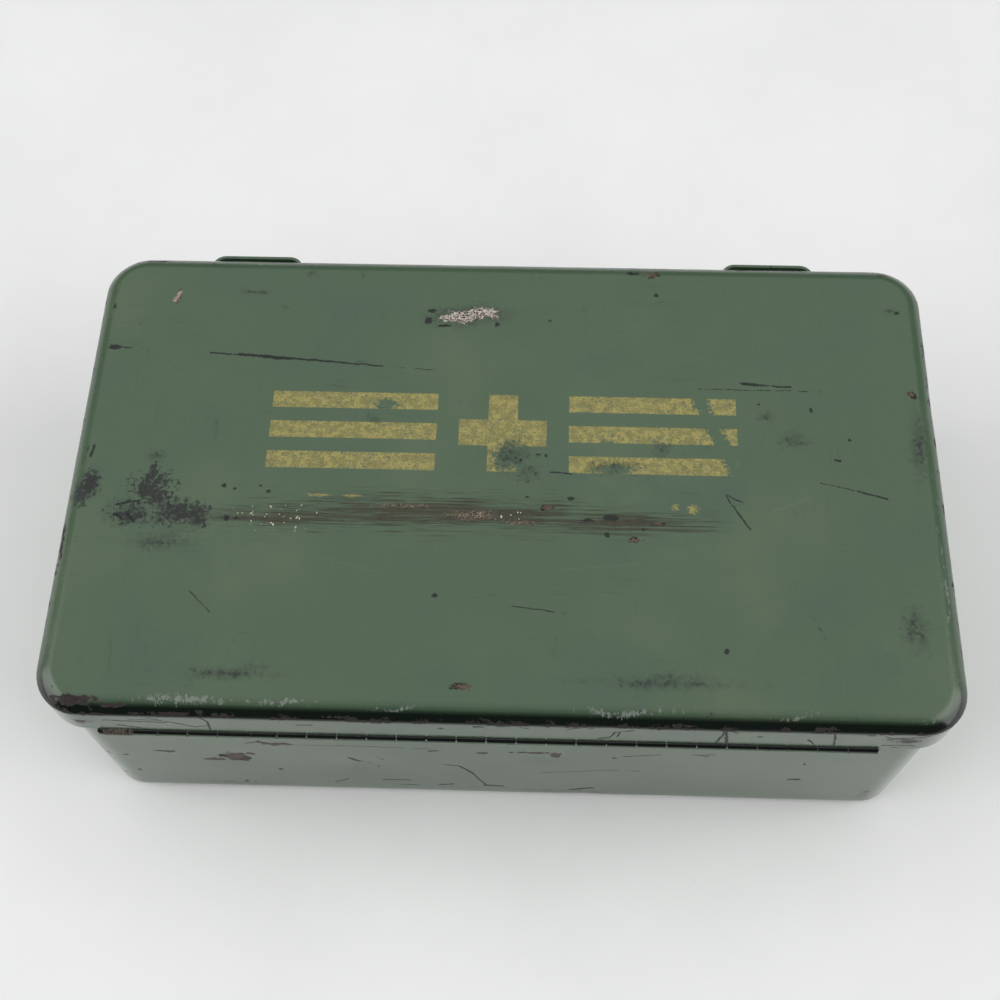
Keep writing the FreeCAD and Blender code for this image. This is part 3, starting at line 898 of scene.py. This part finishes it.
def finish_piece(name, mesh, body, node, materials):
    """Turns a bmesh in millimetres into a piece that rides on a body and stands for a node."""
    for vertex in mesh.verts:
        vertex.co *= MM
    data = bpy.data.meshes.new(name)
    mesh.to_mesh(data)
    mesh.free()
    piece = add_object(name, data)
    for material in materials:
        data.materials.append(material)
    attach(piece, body)
    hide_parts(node)
    return piece


def sheet_depth(point, dents):
    """How far a drawn sheet stands inside its true surface: its wobble and its dents."""
    slow = noise.noise(point * 0.028)
    quick = noise.noise(point * 0.075 + Vector((9, 4, 2)))
    depth = SHEET_WOBBLE * (0.75 + 0.5 * slow + 0.25 * quick)
    for centre, radius, deepest in dents:
        near = 1 - (point - Vector(centre)).length / radius
        if near > 0:
            depth += deepest * near * near * (3 - 2 * near)
    return depth


def shell_mesh(size, profile, inside_count, top_from, dents):
    """A shell from rings of a rounded rectangle, closed by a flat grid at each end.

    profile lists (inset, height) from the inside's flat to the outside's flat. Outside faces
    take the first material, or the third above top_from, and inside faces the second.
    Returns the mesh and where its vertices were before the sheet's wobble and dents.
    """
    mesh = bmesh.new()
    rings = ring_stack(mesh, size, profile, SHELL_STEPS)
    inside = {vertex for ring in rings[:inside_count] for vertex in ring}
    inside.update(fill_flat(mesh, rings[0], SHELL_STEPS))
    fill_flat(mesh, rings[-1], SHELL_STEPS)
    for face in mesh.faces:
        if all(vertex in inside for vertex in face.verts):
            face.material_index = 1
        elif top_from is not None and face.calc_center_median().z > top_from:
            face.material_index = 2
    return mesh, press(mesh, lambda point: sheet_depth(point, dents), inside)


def nearness(points, marks):
    """At each point, 1 at a mark's centre and 0 at its outline, never under -1."""
    best = numpy.full(len(points), -1.0)
    for centre, size in marks:
        scaled = (points - numpy.array(centre)) / numpy.array(size)
        best = numpy.maximum(best, 1 - numpy.linalg.norm(scaled, axis=1))
    return best


# How much shade is painted on the lid's rounding, from its foot at 0 up to the flat top at 1
FRONT_DARK = ([-0.02, 0.02, 0.64, 0.80, 0.95, 1.0], [0.0, 1.0, 1.0, 0.22, 0.14, 0.0])
ROUND_DARK = ([-0.02, 0.02, 0.45, 0.80, 1.0], [0.0, 0.25, 0.25, 0.06, 0.0])


def deep_tone(points, turn):
    """How much painted shade the lid's rounding gets: most low on it, and most along the front."""
    if turn is None:
        return numpy.zeros(len(points))
    rise = (points[:, 2] - turn) / LID_EDGE
    wide = numpy.interp(rise, *FRONT_DARK)
    narrow = numpy.interp(rise, *ROUND_DARK)
    front = numpy.clip((-points[:, 1] - 44) / 8, 0, 1)
    return narrow + (wide - narrow) * front


def edge_wear(points, size, flat_height, edge_heights):
    """1 at a shell's edges, falling to 0 across EDGE_WIDTH."""
    from_edge = numpy.min([abs(points[:, 2] - height) for height in edge_heights], axis=0)
    flat = numpy.abs(points[:, 2] - flat_height) < 0.001
    inset = numpy.minimum(size[0] - abs(points[:, 0]), size[1] - abs(points[:, 1]))
    from_edge = numpy.where(flat, numpy.maximum(inset - TOP_EDGE, 0), from_edge)
    return numpy.clip(1 - from_edge / EDGE_WIDTH, 0, 1)


def build_shell(name, shape, dents, marks, body, node, materials):
    """Makes a shell piece, with its marks kept at its vertices for the materials to read."""
    size, profile, inside_count, top_from, edge_heights = shape
    mesh, points = shell_mesh(size, profile, inside_count, top_from, dents)
    piece = finish_piece(name, mesh, body, node, materials)
    shifts = [noise.noise_vector(Vector(point) * 0.16) for point in points]
    wandering = points + numpy.array(shifts) * MARK_WANDER
    values = {field: nearness(wandering, found) for field, found in marks.items()}
    values["edge"] = edge_wear(points, size, profile[-1][1], edge_heights)
    # The painted shade on the lid's rounding, kept at each vertex
    values["deep"] = deep_tone(points, top_from)
    for field, numbers in values.items():
        kept = piece.data.attributes.new(field, "FLOAT", "POINT")
        kept.data.foreach_set("value", numbers)


# How far the lid's rounded edge reaches in across its top
ROUNDING_REACH = 4.3
# The same edge from its wall up: each facing, in degrees from straight up, and length
LID_ROUNDING = [(84, 0.12), (72, 0.14), (62, 0.30), (56, 0.45), (52, 0.50), (48, 0.50),
                (44, 0.50), (39, 0.50), (32, 0.50), (24, 0.45), (15, 0.40), (6, 0.30)]


def lid_rounding(turn):
    """The lid's rounded edge: a soft shoulder above a tighter turn into the skirt."""
    steps = [(length * math.cos(math.radians(facing)), length * math.sin(math.radians(facing)))
             for facing, length in LID_ROUNDING]
    across = ROUNDING_REACH / sum(step[0] for step in steps)
    up = LID_EDGE / sum(step[1] for step in steps)
    points = [(0.0, turn)]
    for step in steps:
        points.append((points[-1][0] + step[0] * across, points[-1][1] + step[1] * up))
    return points


def lid_shape():
    """The lid's half sizes and corner, its profile, and the heights of its worn edges."""
    low, high = box_mm("lid_shell")
    foot = low.z
    turn = high.z - LID_EDGE
    inside = arc_profile(LID_EDGE, turn, LID_EDGE - SHEET, 90, 0, 6)
    inside += run((SHEET, turn - 1.3), (SHEET, foot + 0.12), 1.5)
    lip = [(SHEET, foot + 0.12), (SHEET - 0.15, foot), (0.15, foot), (0.0, foot + 0.15)]
    wall = run((0.0, foot + 0.5), (0.0, turn), 1.1)
    profile = inside + lip + wall + lid_rounding(turn)
    return half_sizes(low, high, LID_CORNER), profile, len(inside), turn, (foot, turn + 0.2)


def base_shape():
    """The same for the base. No part of it is above its own rounding."""
    low, high = box_mm("base_shell")
    rim = high.z
    inside = arc_profile(BASE_EDGE, BASE_EDGE, BASE_EDGE - SHEET, -90, 0, 6)
    inside += run((SHEET, BASE_EDGE + 2), (SHEET, rim - 0.15), 3.0)
    lip = [(SHEET, rim - 0.15), (SHEET - 0.15, rim), (0.15, rim), (0.0, rim - 0.15)]
    wall = run((0.0, rim - 0.6), (0.0, BASE_EDGE), 2.0)
    profile = inside + lip + wall + arc_profile(BASE_EDGE, BASE_EDGE, BASE_EDGE, 0, -90, 12)
    return half_sizes(low, high, BASE_CORNER), profile, len(inside), None, (rim, 1.0)


LID_DENTS = [
    ((-10, 40.5, TOP), 13, 0.16), ((-78, -6, TOP), 11, 0.12), ((60, -30, TOP), 18, 0.20),
    ((-30, -40, TOP), 16, 0.15), ((33, 54, 65), 4.5, 0.18), ((-85, -54.5, 64.5), 6, 0.25),
    ((24, -57, 60), 9, 0.12), ((83, -57, 58), 9, 0.14), ((95.5, 20, 60), 9, 0.15),
]

BASE_DENTS = [
    ((-33, WALL, 22), 14, 0.22), ((-60, WALL, 28), 8, 0.14), ((40, WALL, 18), 26, 0.18),
    ((10, WALL, 34), 8, 0.10), ((94, 15, 30), 20, 0.22), ((-94, -10, 34), 18, 0.20),
    ((-20, 55, 26), 22, 0.25), ((20, WALL, 1.5), 8, 0.15),
]


# ---------------------------------------------------------------- gasket and cartons

GASKET_WIDTH = 5.8
GASKET_CORNER = 8.8
GASKET_ROUND = 0.6
GASKET_SHOULDER = 1.9
GASKET_GROOVE = 0.45
HAIR = 0.02


def build_gasket(material):
    """The rubber ring inside the lid: flat above, rounded below, with the rim's mark in it."""
    low, high = box_mm("lid_gasket")
    rim = high.x - box_mm("base_shell")[1].x + SHEET / 2
    foot = low.z + HAIR
    head = high.z - HAIR
    profile = [(HAIR, low.z + 0.1), (0.1, foot), (rim - SHEET, foot)]
    profile += [(rim + share * SHEET / 2, foot + GASKET_GROOVE * depth)
                for share, depth in ((-1, 0.7), (0, 1.0), (1, 0.7), (2, 0.0))]
    profile.append((GASKET_WIDTH / 2, foot))
    profile += arc_profile(GASKET_WIDTH - GASKET_ROUND, low.z + GASKET_ROUND,
                           HAIR - GASKET_ROUND, 90, 0, 4)
    profile += [(GASKET_WIDTH - HAIR, head), (GASKET_WIDTH / 2, head)]
    profile += arc_profile(GASKET_SHOULDER, high.z - GASKET_SHOULDER, GASKET_SHOULDER - HAIR,
                           90, 10, 8)
    mesh = bmesh.new()
    ring_stack(mesh, half_sizes(low, high, GASKET_CORNER), profile, SHELL_STEPS, closed=True)
    press(mesh, lambda point: 0.05 * abs(noise.noise(point * 0.3)))
    finish_piece("lid_gasket_ring", mesh, "lid", "lid_gasket", [material])


CARTONS = {
    "adhesive_bandage": (0.055, 0.085, 0.17, 1),
    "small_compress": (0.23, 0.050, 0.042, 1),
    "large_compress": (0.16, 0.032, 0.030, 1),
    "triangular_bandage": (0.050, 0.115, 0.062, 1),
    "gauze_pad": (0.09, 0.17, 0.18, 1),
    "eye_dressing": (0.30, 0.19, 0.055, 1),
    "ammonia_inhalant": (0.20, 0.09, 0.038, 1),
    "antiseptic_swab": (0.27, 0.075, 0.050, 1),
    "burn_ointment": (0.36, 0.27, 0.070, 1),
    "tourniquet_and_forceps": (0.14, 0.14, 0.145, 1),
}
BOARD = (0.53, 0.46, 0.32, 1)
BOARD_AGED = (0.42, 0.33, 0.20, 1)
BOARD_TORN = (0.60, 0.55, 0.44, 1)
BOARD_STAIN = (0.22, 0.15, 0.08, 1)
BAND_SHARE = 0.62
PINSTRIPE_SHARES = (0.67, 0.72)
CARTON_GAP = 0.12
CARTON_CORNER = 0.9
CARTON_INSET = 0.04
CARTON_BOW = 0.26
CARTON_CRUMPLE = 0.12
FLAP_THICKNESS = 0.4
FLAP_FOOT = 0.35
FLAP_INSET = (0.5, 0.7)
FLAP_CORNER = 2.0
THUMB_NOTCH = (3.15, 4.5)


def board(name, ink, low, high):
    """Aged carton board with one plain printed band and two pinstripes on each side of it."""
    made = Surface(name)
    aged = made.step(made.noise(0.06, 5.0, 0.65), 0.40, 0.68)
    colour = made.blend(aged, BOARD, BOARD_AGED)
    offset = made.vector("SUBTRACT", made.place, tuple((low + high) / 2))
    away = made.axes(made.vector("ABSOLUTE", offset))[1]
    length = (high.y - low.y) / 2
    band = made.step(away, length * BAND_SHARE, length * BAND_SHARE + 0.2, 1.0, 0.0)
    for share in PINSTRIPE_SHARES:
        line = made.math("ABSOLUTE", made.minus(away, length * share))
        band = made.larger(band, made.step(line, 0.35, 0.5, 1.0, 0.0))
    grain = made.noise(1.3, 5.0, 0.7)
    scuffed = made.step(grain, 0.58, 0.68)
    printed = made.times(band, made.step(grain, 0.60, 0.66, 1.0, 0.25))
    colour = made.blend(printed, colour, ink)
    colour = made.blend(made.times(scuffed, 0.35), colour, BOARD_TORN)
    stain = made.step(made.noise(0.03, 3.0, 0.6), 0.58, 0.62)
    made.set("Base Color", made.blend(made.times(stain, 0.25), colour, BOARD_STAIN))
    made.set("Roughness", made.step(grain, 0.3, 0.7, 0.62, 0.82))
    made.bump(made.times(grain, 0.05))
    return made.material


def bowed(point, low, high, seed):
    """How far a carton's side stands inside its true surface: most at its edges."""
    middle = (low + high) / 2
    half = (high - low) / 2
    shares = sorted(abs(point[axis] - middle[axis]) / half[axis] for axis in range(3))
    swell = (1 - shares[0] ** 2) * (1 - shares[1] ** 2)
    crumple = abs(noise.noise(point * 0.05 + Vector((seed, 0, 0))))
    return CARTON_INSET + CARTON_BOW * (1 - swell) + CARTON_CRUMPLE * crumple


def flap_outline(low, high):
    """The top flap's outline: rounded at its free edge, with a thumb notch in its middle."""
    inner = high.x - FLAP_CORNER
    first = Vector((inner, low.y + FLAP_CORNER))
    second = Vector((inner, high.y - FLAP_CORNER))
    notch = Vector((high.x, (low.y + high.y) / 2))
    points = [Vector((low.x, low.y)), Vector((inner, low.y))]
    points += [first + turned(angle) * FLAP_CORNER for angle in range(-90, 1, 30)]
    points += [notch - Vector((THUMB_NOTCH[0] * turned(angle).y,
                               THUMB_NOTCH[1] * turned(angle).x))
               for angle in range(0, 181, 15)]
    points += [second + turned(angle) * FLAP_CORNER for angle in range(0, 91, 30)]
    return points + [Vector((low.x, high.y))]


def add_slab(mesh, points, low, high):
    """A flat sheet between two heights, from its outline."""
    lower = [mesh.verts.new((point.x, point.y, low)) for point in points]
    upper = [mesh.verts.new((point.x, point.y, high)) for point in points]
    mesh.faces.new(lower[::-1])
    mesh.faces.new(upper)
    join_rings(mesh, lower, upper)


def build_carton(node, ink, seed):
    """A folded board carton: slightly bowed sides and a tucked flap with a thumb notch."""
    low, high = box_mm(node)
    gap = Vector((CARTON_GAP,) * 3)
    low, high = low + gap, high - gap
    top = high.z - FLAP_THICKNESS
    corner = CARTON_CORNER
    profile = arc_profile(corner, low.z + corner, corner, -90, 0, 3)
    profile += run((0.0, low.z + corner + 1), (0.0, top - corner), 4.0)
    profile += arc_profile(corner, top - corner, corner, 0, 90, 3)
    mesh = bmesh.new()
    rings = ring_stack(mesh, half_sizes(low, high, corner), profile, CARTON_STEPS,
                       (low + high) / 2)
    fill_flat(mesh, rings[0], CARTON_STEPS)
    fill_flat(mesh, rings[-1], CARTON_STEPS)
    press(mesh, lambda point: bowed(point, low, high, seed))
    inset = Vector(FLAP_INSET)
    flap = flap_outline(low.to_2d() + inset, high.to_2d() - inset)
    add_slab(mesh, flap, top - FLAP_FOOT, high.z - HAIR)
    paper = board(node + "_board", ink, low, high)
    finish_piece(node + "_folded", mesh, "case", node, [paper])


# ---------------------------------------------------------------- scene

PALE = (0.85, 0.855, 0.85, 1)
PALE_CLOUD = (0.81, 0.815, 0.81, 1)
SPECK_GREY = (0.25, 0.25, 0.25, 1)
ROOM_LIGHT = (0.95, 0.98, 1.0, 1)
ROOM_POWER = 0.07
CAMERA_PLACE = (0.0063, -0.1432, 0.3360)
CAMERA_TURN = (26.71, 0.66, 1.68)
CAMERA_LENS = 50.07


def add_floor():
    """A plain pale tabletop, with faint clouds and a few specks."""
    made = Surface("pale_tabletop")
    cloud = made.step(made.noise(0.012, 4.0, 0.6), 0.3, 0.7)
    colour = made.blend(cloud, PALE, PALE_CLOUD)
    specks = made.scattered(made.warped(0.9, 1.2), 16.0, 0.16, 0.8)
    made.set("Base Color", made.blend(made.times(specks, 0.25), colour, SPECK_GREY))
    made.set("Roughness", 0.55)
    mesh = bmesh.new()
    bmesh.ops.create_grid(mesh, x_segments=8, y_segments=8, size=2.5)
    data = bpy.data.meshes.new("tabletop")
    mesh.to_mesh(data)
    mesh.free()
    data.materials.append(made.material)
    floor = add_object("tabletop", data)
    floor.location.z = cad_bounds[0][2] - 0.00002


def add_light(name, place, target, width, depth, power):
    """A soft rectangular light that faces target."""
    light = bpy.data.lights.new(name, "AREA")
    light.shape = "RECTANGLE"
    light.size = width
    light.size_y = depth
    light.energy = power
    holder = add_object(name, light)
    holder.location = place
    aim = Vector(target) - Vector(place)
    holder.rotation_euler = aim.to_track_quat("-Z", "Y").to_euler()


def add_world():
    """A dim grey room."""
    world = bpy.data.worlds.new("room")
    world.use_nodes = True
    background = world.node_tree.nodes["Background"]
    background.inputs[0].default_value = ROOM_LIGHT
    background.inputs[1].default_value = ROOM_POWER
    bpy.context.scene.world = world


def add_camera():
    """The camera: close above the front edge, looking down."""
    camera = bpy.data.cameras.new("camera")
    camera.sensor_width = 36.0
    camera.lens = CAMERA_LENS
    camera.clip_start = 0.01
    holder = add_object("camera", camera)
    holder.location = CAMERA_PLACE
    holder.rotation_euler = Euler([math.radians(angle) for angle in CAMERA_TURN])
    bpy.context.scene.camera = holder


def paint(material, *nodes):
    """Gives CAD nodes their material."""
    for node in nodes:
        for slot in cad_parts[node].material_slots:
            slot.material = material


def build_shells():
    """The lid's and the base's shells, and their paint."""
    inside = inside_enamel()
    skirt = wall_enamel("green_enamel_skirt", SKIRT_SPOTS, SKIRT_LINES, SKIRT_CHIPS)
    walls = wall_enamel("green_enamel_base", BASE_SPOTS, BASE_LINES, BASE_CHIPS)
    build_shell("lid_drawn_shell", lid_shape(), LID_DENTS, LID_MARKS, "lid", "lid_shell",
                [skirt, inside, lid_enamel()])
    build_shell("base_drawn_shell", base_shape(), BASE_DENTS, BASE_MARKS, "case", "base_shell",
                [walls, inside])


def paint_small_parts():
    """Paint and steel for the hinge and the latches."""
    latch_paint = small_enamel("green_enamel_latches")
    low, high = box_mm("hinge_pin")
    rusty_end = ((low.x + 4.6, -57.0, 52.0), (3.9, 4, 4))
    # Painted shade on the hinge from half a millimetre above its pin's middle upwards
    hinge_paint = small_enamel("green_enamel_hinge", rusty_end, (low.z + high.z) / 2 + 0.5)
    paint(hinge_paint, "lid_hinge_leaf", "base_hinge_leaf")
    paint(steel("pin_steel", (0.42, 0.40, 0.38, 1)), "hinge_pin", "latch_pin_left",
          "latch_pin_right")
    for side in ("_left", "_right"):
        paint(latch_paint, "latch_bracket" + side, "latch_rivets" + side, "latch_lever" + side,
              "strike" + side)


def main():
    bpy.context.scene.view_settings.view_transform = "Standard"
    build_shells()
    paint_small_parts()
    build_gasket(rubber())
    for seed, (name, ink) in enumerate(CARTONS.items()):
        build_carton(name + "_carton", ink, seed)
    add_floor()
    add_world()
    add_light("overhead", (0.0, 0.45, 1.5), (0.0, 0.45, 0.0), 4.0, 2.7, 27.5)
    for side in (-1, 1):
        add_light("side", (1.6 * side, -0.35, 0.9), (0.0, 0.0, 0.0), 1.7, 1.7, 23.0)
    add_camera()


main()
